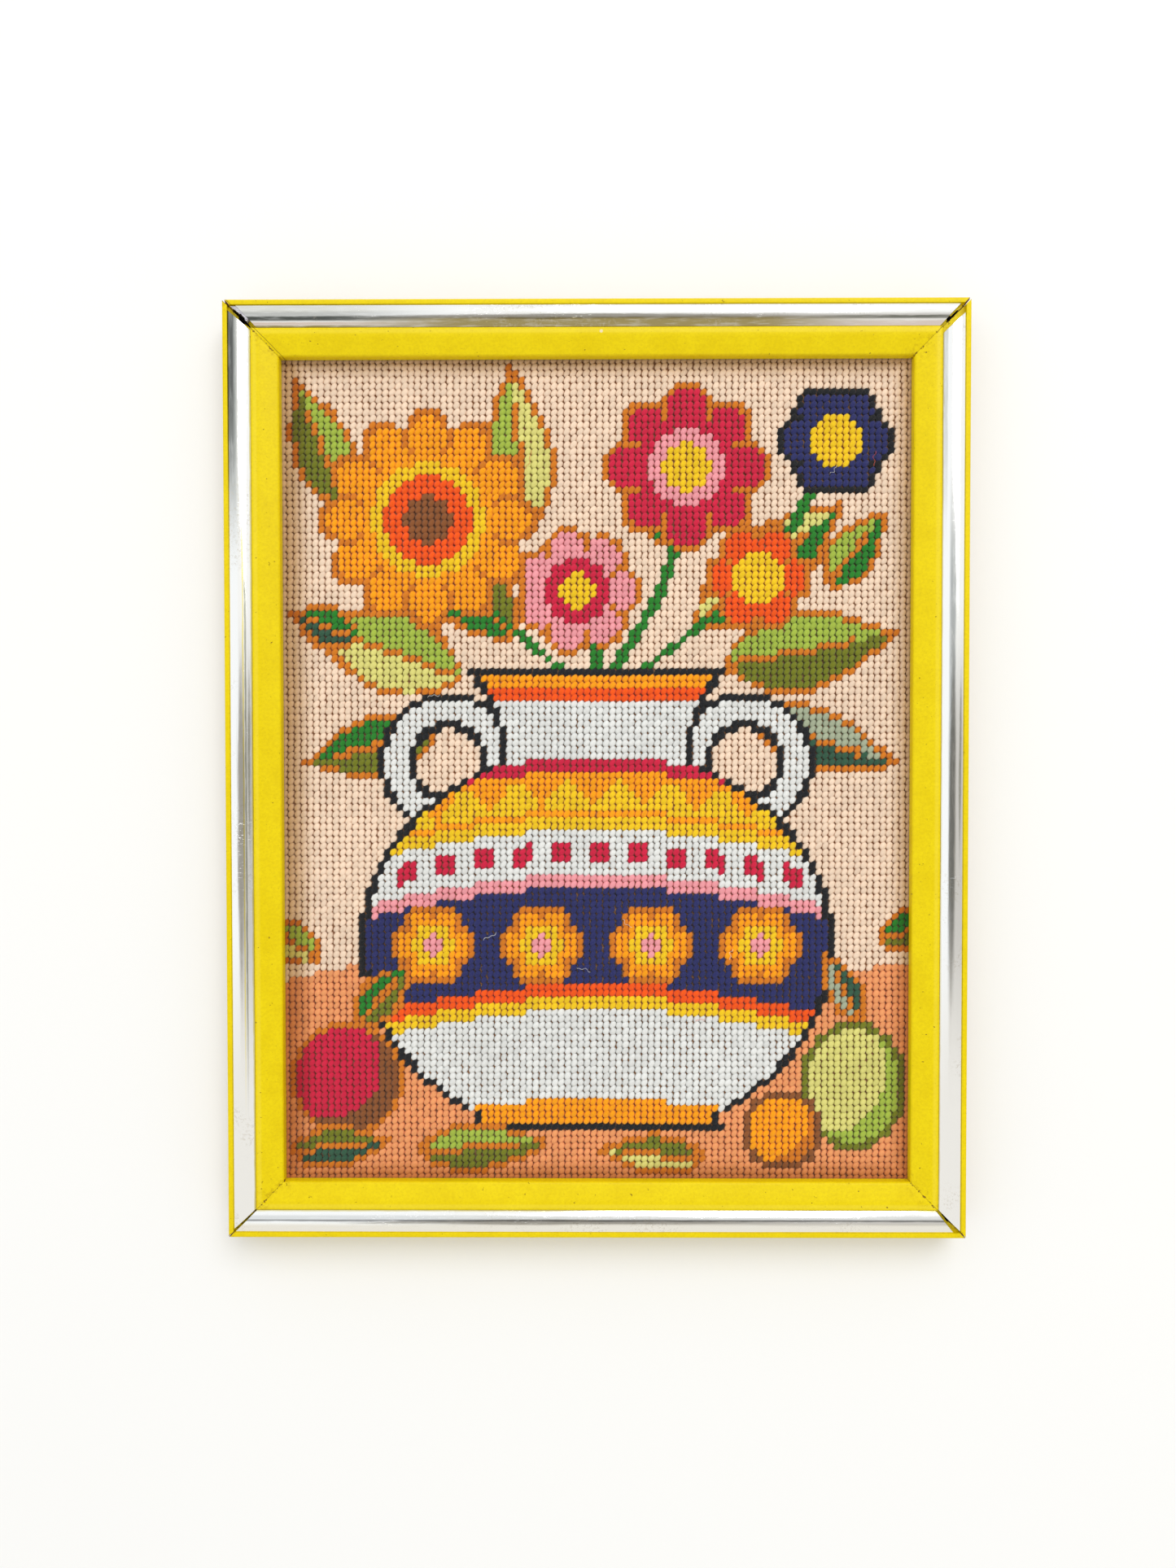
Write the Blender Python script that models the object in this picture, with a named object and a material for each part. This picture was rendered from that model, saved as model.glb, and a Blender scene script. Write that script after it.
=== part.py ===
"""A needlepoint canvas held in a mitred wooden picture frame, lying face up on its back.

The frame has four rails of one moulding. Each rail carries a bright rounded strip in a
channel along its face, and a slot in its inner side takes the edge of the stitched canvas.
Sizes are in metres. X runs across the picture, Y towards its top edge, and Z up, out of
its face. The origin is the middle of the base.
"""

import math

import bmesh
import bpy
from mathutils import Vector

# Canvas: ten holes to the inch, counted across and down the opening of the frame
STITCH = 0.00254
SIGHT_WIDTH = 97 * STITCH
SIGHT_LENGTH = 127 * STITCH
CANVAS_TUCK = 0.0032
CANVAS_THICKNESS = 0.0030
CANVAS_RIM_TOP = 0.0112

# How far the stretched canvas stands up from its rim, and the long low waves across it
SWELL_HEIGHT = 0.0006
SWELL_RUN = 0.026
WAVE_HEIGHT = 0.00012
WAVE_LENGTH_X = 0.095
WAVE_LENGTH_Y = 0.135
CANVAS_CELLS_X = 22
CANVAS_CELLS_Y = 28

# Moulding, from its outer face inwards
RAIL_HEIGHT = 0.018
LIP_WIDTH = 0.0019
LIP_ROUND = 0.0005
CHANNEL_WIDTH = 0.0089
CHANNEL_DEPTH = 0.0020
SHOULDER_WIDTH = 0.0029
SHOULDER_ROUND = 0.0006
SLOPE_WIDTH = 0.0076
SLOPE_DROP = 0.0022
SIGHT_ROUND = 0.0008
RAIL_WIDTH = LIP_WIDTH + CHANNEL_WIDTH + SHOULDER_WIDTH + SLOPE_WIDTH
ROUND_STEPS = 4
CREASE_ANGLE = 30

# Bright strip in the channel
PIECE_GAP = 0.0003
STRIP_WIDTH = CHANNEL_WIDTH - 2 * PIECE_GAP
STRIP_SIDE = 0.0012
STRIP_CROWN = 0.0013
CROWN_STEPS = 16

# Mitres: how wide each one stands open at the outer corner of the frame
MITRE_OPENING = {
    "top_left": 0.0010,
    "top_right": 0.0009,
    "bottom_left": 0.0005,
    "bottom_right": 0.0008,
}

# The four sides, anticlockwise: turn about Z in degrees, corner at the start, corner at the end
SIDES = {
    "bottom": (0, "bottom_left", "bottom_right"),
    "right": (90, "bottom_right", "top_right"),
    "top": (180, "top_right", "top_left"),
    "left": (270, "top_left", "bottom_left"),
}

# How far each strip stops short of its mitre, at its outer edge and at its inner edge
STRIP_SETBACKS = {
    "bottom": {"start": (0.0003, 0.0003), "end": (0.0021, 0.0016)},
    "right": {"start": (0.0004, 0.0004), "end": (0.0025, 0.0021)},
    "top": {"start": (0.0013, 0.0009), "end": (0.0018, 0.0015)},
    "left": {"start": (0.00155, 0.0007), "end": (0.0008, 0.0003)},
}

OUTER_WIDTH = SIGHT_WIDTH + 2 * RAIL_WIDTH
OUTER_LENGTH = SIGHT_LENGTH + 2 * RAIL_WIDTH


def clear_scene():
    for item in list(bpy.data.objects):
        bpy.data.objects.remove(item, do_unlink=True)


def finish(name, colour, roughness, metallic):
    """A plain Principled material."""
    material = bpy.data.materials.new(name)
    material.use_nodes = True
    shader = material.node_tree.nodes["Principled BSDF"]
    shader.inputs["Base Color"].default_value = (*colour, 1.0)
    shader.inputs["Roughness"].default_value = roughness
    shader.inputs["Metallic"].default_value = metallic
    return material


def arc(centre, radius, start, end, steps):
    """Points on a round corner, from one angle to another in degrees."""
    points = []
    for step in range(steps + 1):
        angle = math.radians(start + (end - start) * step / steps)
        points.append((centre[0] + radius * math.cos(angle), centre[1] + radius * math.sin(angle)))
    return points


def moulding_section():
    """The rail's cut end, as (distance in from the outer face, height) points, clockwise."""
    channel_start = LIP_WIDTH
    channel_end = LIP_WIDTH + CHANNEL_WIDTH
    channel_floor = RAIL_HEIGHT - CHANNEL_DEPTH
    shoulder_end = channel_end + SHOULDER_WIDTH
    sight_height = RAIL_HEIGHT - SLOPE_DROP
    slope = math.degrees(math.atan2(SLOPE_DROP, SLOPE_WIDTH))
    slot_top = CANVAS_RIM_TOP + PIECE_GAP
    slot_floor = CANVAS_RIM_TOP - CANVAS_THICKNESS - PIECE_GAP
    slot_end = RAIL_WIDTH - CANVAS_TUCK - PIECE_GAP
    lip_centre = (LIP_ROUND, RAIL_HEIGHT - LIP_ROUND)
    shoulder_centre = (channel_end + SHOULDER_ROUND, RAIL_HEIGHT - SHOULDER_ROUND)
    sight_centre = (RAIL_WIDTH - SIGHT_ROUND, sight_height - SIGHT_ROUND)
    points = [(0.0, 0.0)]
    points += arc(lip_centre, LIP_ROUND, 180, 90, ROUND_STEPS)
    points += [(channel_start, RAIL_HEIGHT), (channel_start, channel_floor), (channel_end, channel_floor)]
    points += arc(shoulder_centre, SHOULDER_ROUND, 180, 90, ROUND_STEPS)
    points += [(shoulder_end, RAIL_HEIGHT)]
    points += arc(sight_centre, SIGHT_ROUND, 90 - slope, 0, ROUND_STEPS)
    points += [(RAIL_WIDTH, slot_top), (slot_end, slot_top), (slot_end, slot_floor), (RAIL_WIDTH, slot_floor)]
    points += [(RAIL_WIDTH, 0.0)]
    return points


def strip_section():
    """The strip's cut end: flat underneath, short upright sides and a shallow round crown."""
    inset = LIP_WIDTH + PIECE_GAP
    base = RAIL_HEIGHT - CHANNEL_DEPTH + PIECE_GAP
    half = STRIP_WIDTH / 2
    radius = (half**2 + STRIP_CROWN**2) / (2 * STRIP_CROWN)
    spread = math.degrees(math.asin(half / radius))
    centre = (inset + half, base + STRIP_SIDE + STRIP_CROWN - radius)
    crown = arc(centre, radius, 90 + spread, 90 - spread, CROWN_STEPS)
    return [(inset, base), *crown, (inset + STRIP_WIDTH, base)]


def end_plane(half_run, half_span, insets, setbacks, at_start):
    """Point and outward normal of the cut at one end of a bar.

    At each inset from the frame's outer face, the cut stands back from the mitre line by
    that setback.
    """
    away = Vector((1, -1, 0)).normalized()
    marks = []
    for inset, setback in zip(insets, setbacks):
        corner = Vector((-half_run + inset, -half_span + inset, 0))
        marks.append(corner + away * setback)
    along = (marks[1] - marks[0]).normalized()
    normal = Vector((-along.y, along.x, 0))
    point = marks[0]
    if not at_start:
        point = Vector((-point.x, point.y, 0))
        normal = Vector((-normal.x, normal.y, 0))
    return point, normal


def mitred_bar(name, section, side, insets, setbacks, material):
    """A straight bar of the given section, along one side of the frame, cut to its two mitres."""
    turn = SIDES[side][0]
    half_run, half_span = OUTER_WIDTH / 2, OUTER_LENGTH / 2
    if side in ("left", "right"):
        half_run, half_span = half_span, half_run
    shape = bmesh.new()
    corners = [shape.verts.new((-half_run, -half_span + inset, height)) for inset, height in section]
    cap = shape.faces.new(corners)
    swept = bmesh.ops.extrude_face_region(shape, geom=[cap])
    moved = [item for item in swept["geom"] if isinstance(item, bmesh.types.BMVert)]
    bmesh.ops.translate(shape, verts=moved, vec=(2 * half_run, 0, 0))
    for at_start, setback in zip((True, False), setbacks):
        point, normal = end_plane(half_run, half_span, insets, setback, at_start)
        everything = shape.verts[:] + shape.edges[:] + shape.faces[:]
        cut = bmesh.ops.bisect_plane(
            shape, geom=everything, plane_co=point, plane_no=normal, clear_outer=True
        )
        rim = [item for item in cut["geom_cut"] if isinstance(item, bmesh.types.BMEdge)]
        bmesh.ops.edgeloop_fill(shape, edges=rim)
    bmesh.ops.recalc_face_normals(shape, faces=shape.faces[:])
    bar = add_object(name, shape, material)
    bar.rotation_euler.z = math.radians(turn)
    bar.data.shade_smooth()
    bar.data.set_sharp_from_angle(angle=math.radians(CREASE_ANGLE))
    return bar


def add_object(name, shape, material):
    mesh = bpy.data.meshes.new(name)
    shape.to_mesh(mesh)
    shape.free()
    mesh.materials.append(material)
    item = bpy.data.objects.new(name, mesh)
    bpy.context.scene.collection.objects.link(item)
    return item


def rail(side, material):
    start_corner, end_corner = SIDES[side][1:]
    inner_gap = PIECE_GAP / 2
    setbacks = [(MITRE_OPENING[corner] / 2, inner_gap) for corner in (start_corner, end_corner)]
    return mitred_bar("rail_" + side, moulding_section(), side, (0.0, RAIL_WIDTH), setbacks, material)


def strip(side, material):
    insets = (LIP_WIDTH + PIECE_GAP, LIP_WIDTH + PIECE_GAP + STRIP_WIDTH)
    setbacks = (STRIP_SETBACKS[side]["start"], STRIP_SETBACKS[side]["end"])
    return mitred_bar("strip_" + side, strip_section(), side, insets, setbacks, material)


def ease(share):
    """Smooth rise from 0 to 1."""
    share = min(max(share, 0.0), 1.0)
    return share * share * (3 - 2 * share)


def canvas_rise(x, y):
    """Height of the canvas above its rim at a point of the picture."""
    from_side = SIGHT_WIDTH / 2 - abs(x)
    from_end = SIGHT_LENGTH / 2 - abs(y)
    spread = ease(from_side / SWELL_RUN) * ease(from_end / SWELL_RUN)
    wave = math.sin(2 * math.pi * x / WAVE_LENGTH_X) * math.cos(2 * math.pi * y / WAVE_LENGTH_Y)
    return spread * (SWELL_HEIGHT + WAVE_HEIGHT * wave)


def needlepoint_canvas(material):
    """The stitched canvas: one sheet, flat at the rim that the slot holds and swelling a little inside."""
    width = SIGHT_WIDTH + 2 * CANVAS_TUCK
    length = SIGHT_LENGTH + 2 * CANVAS_TUCK
    shape = bmesh.new()
    bmesh.ops.create_grid(shape, x_segments=CANVAS_CELLS_X, y_segments=CANVAS_CELLS_Y, size=0.5)
    bmesh.ops.scale(shape, verts=shape.verts[:], vec=(width, length, 1))
    for vert in shape.verts:
        vert.co.z = CANVAS_RIM_TOP + canvas_rise(vert.co.x, vert.co.y)
    sheet = add_object("needlepoint_canvas", shape, material)
    thickness = sheet.modifiers.new("thickness", "SOLIDIFY")
    thickness.thickness = CANVAS_THICKNESS
    thickness.offset = -1
    return sheet


def main():
    clear_scene()
    yellow = finish("yellow_foil_on_wood", (0.82, 0.62, 0.01), 0.42, 0.0)
    bright = finish("bright_strip", (0.80, 0.80, 0.81), 0.14, 1.0)
    wool = finish("wool_needlepoint", (0.80, 0.58, 0.42), 0.95, 0.0)
    base = bpy.data.objects.new("base", None)
    bpy.context.scene.collection.objects.link(base)
    pieces = [rail(side, yellow) for side in SIDES]
    pieces += [strip(side, bright) for side in SIDES]
    pieces.append(needlepoint_canvas(wool))
    for piece in pieces:
        piece.parent = base


main()
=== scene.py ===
"""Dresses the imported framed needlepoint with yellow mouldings, bright strips, a canvas and wool stitches.

The panel lies face up on a pale table. Sizes are in metres, and the places come from the frame.
"""

import math
import random

import bmesh
import bpy
from mathutils import Matrix, Vector, noise


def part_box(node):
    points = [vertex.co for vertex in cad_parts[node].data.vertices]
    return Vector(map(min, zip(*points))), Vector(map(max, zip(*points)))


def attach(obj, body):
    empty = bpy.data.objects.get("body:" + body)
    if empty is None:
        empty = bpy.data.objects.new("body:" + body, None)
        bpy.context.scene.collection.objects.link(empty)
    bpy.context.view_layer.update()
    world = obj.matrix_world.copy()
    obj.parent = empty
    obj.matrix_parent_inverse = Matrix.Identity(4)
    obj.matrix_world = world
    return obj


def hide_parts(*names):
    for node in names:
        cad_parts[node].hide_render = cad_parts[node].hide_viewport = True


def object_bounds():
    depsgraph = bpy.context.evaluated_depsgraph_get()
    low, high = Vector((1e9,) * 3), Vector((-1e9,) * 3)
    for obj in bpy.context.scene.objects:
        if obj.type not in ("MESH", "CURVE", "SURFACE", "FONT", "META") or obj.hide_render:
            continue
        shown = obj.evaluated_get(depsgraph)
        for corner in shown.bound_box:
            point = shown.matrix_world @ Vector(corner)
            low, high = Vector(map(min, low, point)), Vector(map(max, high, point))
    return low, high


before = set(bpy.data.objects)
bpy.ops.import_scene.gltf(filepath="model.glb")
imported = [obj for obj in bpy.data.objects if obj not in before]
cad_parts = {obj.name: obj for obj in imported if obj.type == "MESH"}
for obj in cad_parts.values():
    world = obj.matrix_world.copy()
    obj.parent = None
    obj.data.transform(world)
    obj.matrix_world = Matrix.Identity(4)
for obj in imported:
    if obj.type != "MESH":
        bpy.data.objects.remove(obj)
cad_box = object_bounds()

# Camera: it looks straight down on the panel from about half a metre, a little above its middle, through
# a wide lens, so that the inner walls of the frame show all round.
PHOTO_HEIGHT = 1927
FOCAL_PIXELS = 1467
SENSOR = 36
CAMERA_PLACE = (-0.0004, 0.0055, 0.4818)
CAMERA_TURN = (-1.251, 0.350, -0.044)

camera_data = bpy.data.cameras.new("camera")
camera_data.sensor_width = SENSOR
camera_data.lens = SENSOR * FOCAL_PIXELS / PHOTO_HEIGHT
camera = bpy.data.objects.new("camera", camera_data)
camera.location = CAMERA_PLACE
camera.rotation_euler = [math.radians(angle) for angle in CAMERA_TURN]
bpy.context.scene.collection.objects.link(camera)
bpy.context.scene.camera = camera
bpy.context.scene.view_settings.view_transform = "Standard"


# Mouldings: four lengths of soft wood with a smooth yellow face, mitred at the ends. Each has a flat lip,
# a channel for the bright strip, a rounded shoulder, a slope and a round sight edge, and a slot for the
# canvas. The corners have opened a little and torn the floor of the channel.
LIP_WIDTH = 0.0019
CHANNEL_WIDTH = 0.0089
CHANNEL_DEPTH = 0.0020
SHOULDER_WIDTH = 0.0029
SLOPE_DROP = 0.0022
SLOT_DEPTH = 0.0035
SLOT_CLEARANCE = 0.0003
LONG_EDGE_ROUNDS = {
    "lip_outer": (0.00050, 5),
    "lip_inner": (0.00012, 2),
    "shoulder_outer": (0.00060, 6),
    "shoulder_inner": (0.00120, 4),
    "sight_edge": (0.00090, 8),
}
MITRE_SETBACKS = {
    "top_left": {"level": 0.00075, "upright": 0.00015},
    "top_right": {"level": 0.00050, "upright": 0.00045},
    "bottom_left": {"level": 0.00025, "upright": 0.00020},
    "bottom_right": {"level": 0.00022, "upright": 0.00018},
}
# Each side: its turn about Z in degrees, and the corners at its start and its end
SIDES = {
    "bottom": (0, "bottom_left", "bottom_right"),
    "right": (90, "bottom_right", "top_right"),
    "top": (180, "top_right", "top_left"),
    "left": (270, "top_left", "bottom_left"),
}
MITRE_HAIR = 0.00004
MITRE_OPEN_REACH = 0.0135
MITRE_UNDERCUTS = {"level": 0.17, "upright": 0.03}
# Each tear: how far in it lies, how far off the mitre, its half length and its half width
TEARS = {
    "top_left": ((0.0070, 0.0003, 0.0050, 0.00062), (0.0074, 0.0, 0.0019, 0.00125)),
    "top_right": ((0.0068, 0.0003, 0.0034, 0.00045), (0.0078, 0.0004, 0.0012, 0.00080)),
    "bottom_right": ((0.0072, 0.0, 0.0030, 0.00040), (0.0068, 0.0, 0.0012, 0.00090)),
    "bottom_left": ((0.0060, 0.0, 0.0030, 0.00016),),
}
TEAR_DEPTH = 0.0045
TEAR_POINTS = 15
SPLIT_OFFSET = 0.0015
CHIP_PLACE = (0.0020, 0.1700)
FOIL_DEPTHS = (0.006, 0.016)
CREASE = math.radians(32)
BEVEL = {"profile": 0.5, "affect": "EDGES", "material": -1}
YELLOW_GLOSS = 0.16
YELLOW_SHADES = (0.765, 0.585, 0.0008, 1), (0.805, 0.628, 0.0012, 1)
YELLOW_GRAIN = (0.62, 0.45, 0.001, 1)
YELLOW_SHOULDER_BAND = (0.86, 0.70, 0.06, 1)
GRIME = (0.46, 0.30, 0.002, 1)
SPECK = (0.40, 0.26, 0.004, 1)
WHITE_CHIP = (0.80, 0.70, 0.50, 1)
BROWN_CHIP = (0.30, 0.17, 0.010, 1)
SPLIT = (0.26, 0.16, 0.006, 1)
OLD_WOOD = (0.46, 0.36, 0.28, 1), (0.68, 0.59, 0.50, 1)
SAWN_WOOD = (0.30, 0.16, 0.09, 1), (0.56, 0.36, 0.23, 1)
PORE = (0.13, 0.07, 0.04, 1)
DIRT = (0.012, 0.009, 0.008, 1), (0.10, 0.06, 0.035, 1)

outer_low, outer_high = cad_box
outer_width = outer_high.x - outer_low.x
outer_length = outer_high.y - outer_low.y
rail_low, rail_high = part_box("rail_bottom")
rail_width = rail_high.y - rail_low.y
rail_height = rail_high.z
canvas_low, canvas_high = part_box("needlepoint_canvas")
CANVAS_THICKNESS = 0.0030
canvas_rim_top = canvas_low.z + CANVAS_THICKNESS
sight_width = outer_width - 2 * rail_width
sight_length = outer_length - 2 * rail_width


def add(tree, kind, sockets=(), **settings):
    """A shader node with its settings; each socket gets a value, or a link where an output is given."""
    made = tree.nodes.new("ShaderNode" + kind)
    for name, value in settings.items():
        setattr(made, name, value)
    for name, value in dict(sockets).items():
        if isinstance(value, bpy.types.NodeSocket):
            tree.links.new(value, made.inputs[name])
        else:
            made.inputs[name].default_value = value
    return made


def link(value, socket):
    """Feeds a node's output to a socket of another node."""
    socket.id_data.links.new(value, socket)


def home(*values):
    """The node tree that the first node output among the values belongs to."""
    return next(value.id_data for value in values if isinstance(value, bpy.types.NodeSocket))


def mixed(factor, first, second, blend="MIX"):
    """The colour output of a Mix node."""
    sockets = {0: factor, 6: first, 7: second}
    made = add(home(factor, first, second), "Mix", sockets, data_type="RGBA", blend_type=blend)
    return made.outputs[2]


def maths(operation, first, second=0.0):
    """The output of a Math node."""
    tree = home(first, second)
    return add(tree, "Math", {0: first, 1: second}, operation=operation).outputs[0]


def times(first, second):
    """first multiplied by second."""
    return maths("MULTIPLY", first, second)


def plus(first, second):
    """first and second added."""
    return maths("ADD", first, second)


def minus(first, second):
    """second taken from first."""
    return maths("SUBTRACT", first, second)


def ramp(value, low, high, to_low=0.0, to_high=1.0):
    """value brought from low to high into a smooth step from to_low to to_high."""
    sockets = {"Value": value, "From Min": low, "From Max": high, "To Min": to_low, "To Max": to_high}
    return add(home(value), "MapRange", sockets, interpolation_type="SMOOTHSTEP").outputs[0]


def grain(place, scale, detail=2.0, roughness=0.5):
    """The grey output of a Noise node."""
    sockets = {"Vector": place, "Scale": scale, "Detail": detail, "Roughness": roughness}
    return add(home(place), "TexNoise", sockets).outputs["Fac"]


def stretched(place, scale):
    """place with each axis multiplied by its own scale; a pattern runs long where that is small."""
    return add(home(place), "Mapping", {"Vector": place, "Scale": scale}).outputs[0]


def parted(place):
    """The X, the Y and the Z of a place."""
    return tuple(add(home(place), "SeparateXYZ", {0: place}).outputs)


def group(name, inputs, outputs):
    """A shader node group with named sockets, and its input and output nodes."""
    tree = bpy.data.node_groups.new(name, "ShaderNodeTree")
    for label, kind, value in inputs:
        socket = tree.interface.new_socket(label, in_out="INPUT", socket_type="NodeSocket" + kind)
        socket.default_value = value
    for label, kind in outputs:
        tree.interface.new_socket(label, in_out="OUTPUT", socket_type="NodeSocket" + kind)
    return tree, tree.nodes.new("NodeGroupInput"), tree.nodes.new("NodeGroupOutput")


def surface(name, **values):
    """A new material, its node tree, and its Principled shader with the given plain values."""
    material = bpy.data.materials.new(name)
    material.use_nodes = True
    tree = material.node_tree
    shader = tree.nodes["Principled BSDF"]
    for label, value in values.items():
        shader.inputs[label.replace("_", " ").title().replace("Ior", "IOR")].default_value = value
    return material, tree, shader


def set_bump(shader, height, distance):
    """Feeds a height to the shader's normal."""
    bump = add(home(height), "Bump", {"Height": height, "Distance": distance, "Strength": 1.0})
    link(bump.outputs["Normal"], shader.inputs["Normal"])


def yellow_face():
    """Satin yellow foil over wood, mottled and specked, grimy at the mitres and split beside one."""
    material, tree, shader = surface("yellow_face", roughness=0.4)
    shader.inputs["Specular IOR Level"].default_value = YELLOW_GLOSS
    place = add(tree, "TexCoord").outputs["Object"]
    x, y, z = parted(place)
    x_away = maths("ABSOLUTE", x)
    y_away = maths("ABSOLUTE", y)
    offset = plus(minus(y_away, x_away), (outer_width - outer_length) / 2)
    wobble = times(minus(grain(place, 130, 4), 0.5), 0.0010)
    from_mitre = maths("ABSOLUTE", offset)
    from_split = maths("ABSOLUTE", minus(plus(offset, wobble), SPLIT_OFFSET))
    split = ramp(from_split, 0.00006, 0.00020, 1.0, 0.0)
    split = times(split, ramp(x, -0.08, -0.09))
    split = times(split, ramp(y, 0.10, 0.11))
    chips = times(ramp(from_mitre, 0.0002, 0.0011, 1.0, 0.0), 0.16)
    chips = ramp(plus(grain(place, 620, 3, 0.6), chips), 0.70, 0.74)
    mottle = grain(place, 90, 6, 0.6)
    shade = mixed(ramp(mottle, 0.35, 0.65), *YELLOW_SHADES)
    peel = ramp(grain(place, 950, 4, 0.6), 0.35, 0.70, 0.0, 0.38)
    shade = mixed(peel, shade, YELLOW_GRAIN)
    x_inset = minus(outer_width / 2, x_away)
    y_inset = minus(outer_length / 2, y_away)
    inset = maths("MINIMUM", x_inset, y_inset)
    # A lighter, bluer yellow is mixed into the band along the top of the shoulder
    shoulder_band = times(ramp(inset, 0.0114, 0.0120), ramp(inset, 0.0136, 0.0126))
    shade = mixed(times(shoulder_band, 0.30), shade, YELLOW_SHOULDER_BAND)
    near_side = -outer_length / 2
    wrapped = ramp(y, near_side + 0.0005, near_side + 0.0002, *FOIL_DEPTHS)
    below_foil = minus(minus(rail_height, wrapped), z)
    bare = times(ramp(below_foil, -0.0003, 0.0003), ramp(inset, 0.0006, 0.0003))
    streaks = grain(stretched(place, (1, 1, 12)), 150, 5, 0.65)
    raw = mixed(ramp(streaks, 0.35, 0.65), *OLD_WOOD)
    shade = mixed(bare, shade, raw)
    grime_near = ramp(from_mitre, 0.0, 0.008, 1.0, 0.0)
    grime = times(grime_near, ramp(grain(place, 420, 5, 0.7), 0.50, 0.66))
    shade = mixed(times(grime, 0.55), shade, GRIME)
    specks = ramp(grain(place, 1900, 1), 0.75, 0.79)
    shade = mixed(times(specks, 0.5), shade, SPECK)
    chip = {0: place, 1: (*CHIP_PLACE, rail_height)}
    away = add(tree, "VectorMath", chip, operation="DISTANCE").outputs["Value"]
    away = plus(away, times(grain(place, 1500, 2), 0.0006))
    shade = mixed(ramp(away, 0.00080, 0.0010, 0.8, 0.0), shade, WHITE_CHIP)
    shade = mixed(chips, shade, BROWN_CHIP)
    shade = mixed(times(split, 0.8), shade, SPLIT)
    link(shade, shader.inputs["Base Color"])
    link(ramp(mottle, 0.2, 0.8, 0.34, 0.46), shader.inputs["Roughness"])
    height = times(grain(place, 1300, 3), 0.25)
    height = minus(height, maths("MAXIMUM", split, chips))
    set_bump(shader, height, 0.00018)
    return material


def bare_wood(name, stretch):
    """Soft pinkish-brown wood, sawn and never painted, its grain along the rail and dirt in its pores."""
    material, tree, shader = surface(name, roughness=0.8)
    place = add(tree, "TexCoord").outputs["Object"]
    lengthways = stretched(place, stretch)
    streaks = grain(lengthways, 40, 6, 0.65)
    shade = mixed(ramp(streaks, 0.3, 0.7), *SAWN_WOOD)
    pores = ramp(grain(lengthways, 210, 3), 0.58, 0.68)
    shade = mixed(times(pores, 0.6), shade, PORE)
    link(shade, shader.inputs["Base Color"])
    set_bump(shader, streaks, 0.00015)
    return material


def old_dirt():
    """Wood blackened by dust and old glue, where a corner has torn."""
    material, tree, shader = surface("old_dirt", roughness=0.95)
    place = add(tree, "TexCoord").outputs["Object"]
    shade = mixed(ramp(grain(place, 1100, 3), 0.45, 0.7), *DIRT)
    link(shade, shader.inputs["Base Color"])
    return material


def lie(side):
    """Whether a side of the frame stands upright in the picture or lies level."""
    return "upright" if side in ("left", "right") else "level"


def end_cut(half_run, half_span, insets, setbacks, at_start, undercut):
    """Point and outward normal of an end cut that stands back from the mitre line by each setback."""
    away = Vector((1, -1, 0)).normalized()
    marks = [
        Vector((-half_run + inset, -half_span + inset, 0)) + away * setback
        for inset, setback in zip(insets, setbacks)
    ]
    along = (marks[1] - marks[0]).normalized()
    mirror = Vector((1, 1, 1)) if at_start else Vector((-1, 1, 1))
    place = marks[0] + Vector((0, 0, rail_height))
    return place * mirror, Vector((-along.y, along.x, undercut)) * mirror


def mitred_length(section, rounds, side, start, end):
    """A bar of the section along one side of the frame, its long edges rounded and its ends mitred."""
    turn = SIDES[side][0]
    half_run, half_span = outer_width / 2, outer_length / 2
    if lie(side) == "upright":
        half_run, half_span = half_span, half_run
    bar = bmesh.new()
    cap = bar.faces.new([bar.verts.new((-half_run, -half_span + inset, z)) for inset, z in section])
    swept = bmesh.ops.extrude_face_region(bar, geom=[cap])["geom"]
    moved = [item for item in swept if isinstance(item, bmesh.types.BMVert)]
    bmesh.ops.translate(bar, verts=moved, vec=(2 * half_run, 0, 0))
    for (inset, z), (radius, segments) in rounds:
        corner = Vector((-half_span + inset, z))
        edges = [
            edge
            for edge in bar.edges
            if all((Vector((vert.co.y, vert.co.z)) - corner).length < 1e-6 for vert in edge.verts)
        ]
        bmesh.ops.bevel(bar, geom=edges, offset=radius, segments=segments, **BEVEL)
    for at_start, cuts in ((True, start), (False, end)):
        for insets, setbacks, undercut in cuts:
            place, normal = end_cut(half_run, half_span, insets, setbacks, at_start, undercut)
            whole = bar.verts[:] + bar.edges[:] + bar.faces[:]
            plane = {"plane_co": place, "plane_no": normal}
            cut = bmesh.ops.bisect_plane(bar, geom=whole, clear_outer=True, **plane)
            rim = [item for item in cut["geom_cut"] if isinstance(item, bmesh.types.BMEdge)]
            bmesh.ops.edgeloop_fill(bar, edges=rim)
    bmesh.ops.recalc_face_normals(bar, faces=bar.faces[:])
    bmesh.ops.rotate(bar, verts=bar.verts[:], matrix=Matrix.Rotation(math.radians(turn), 3, "Z"))
    return bar


def put(name, data):
    """An object with the data, in the scene."""
    piece = bpy.data.objects.new(name, data)
    bpy.context.scene.collection.objects.link(piece)
    return piece


def shaped(name, shape, *materials):
    """The shape as an object at the origin, with its materials."""
    mesh = bpy.data.meshes.new(name)
    shape.to_mesh(mesh)
    shape.free()
    for material in materials:
        mesh.materials.append(material)
    return put(name, mesh)


def finished(name, shape, *materials):
    """The shape as a piece of the panel, smooth but for its arrises."""
    piece = shaped(name, shape, *materials)
    piece.data.shade_smooth()
    piece.data.set_sharp_from_angle(angle=CREASE)
    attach(piece, "root")
    return piece


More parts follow.
